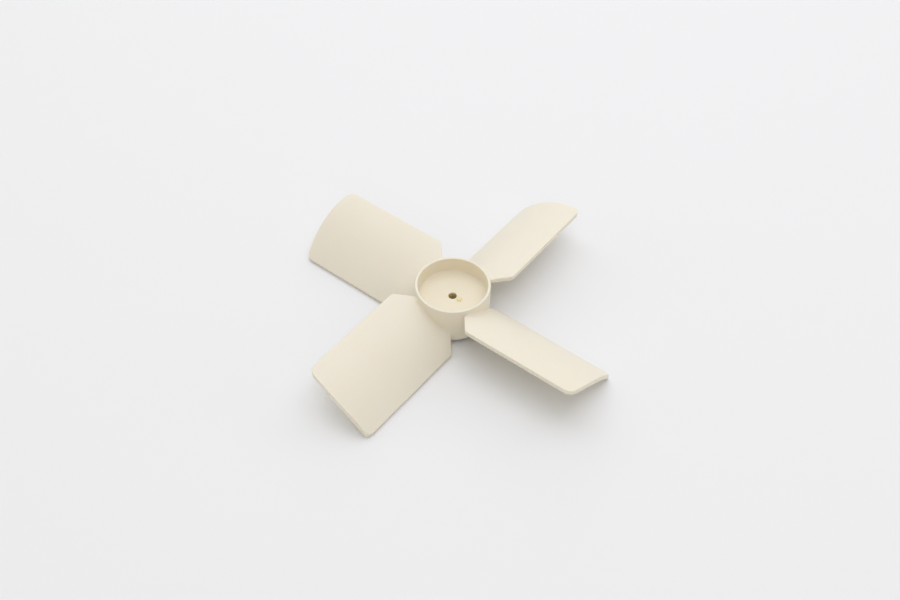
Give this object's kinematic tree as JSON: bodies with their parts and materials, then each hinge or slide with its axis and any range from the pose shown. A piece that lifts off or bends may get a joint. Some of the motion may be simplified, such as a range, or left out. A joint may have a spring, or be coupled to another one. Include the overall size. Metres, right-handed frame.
{
  "type": "axial fan impeller",
  "caption": "One-piece moulded axial fan impeller: pitched, cambered blades on a hub cup with a press-fit shaft boss, for small ventilation and refrigeration fans",
  "frame": {"origin": "On the shaft axis, in the plane of the blades' lowest edges, which is the plane that the impeller stands on", "axes": "+Z is the shaft axis and points out of the hub cup; the first blade lies at 45 degrees from +X towards +Y and the others follow every 90 degrees"},
  "size_m": [0.1004, 0.1004, 0.0168],
  "materials": {
    "impeller": "fine satin, cream, slightly translucent polypropylene as moulded"
  },
  "bodies": {
    "root": {"impeller": "impeller"}
  },
  "joints": []
}
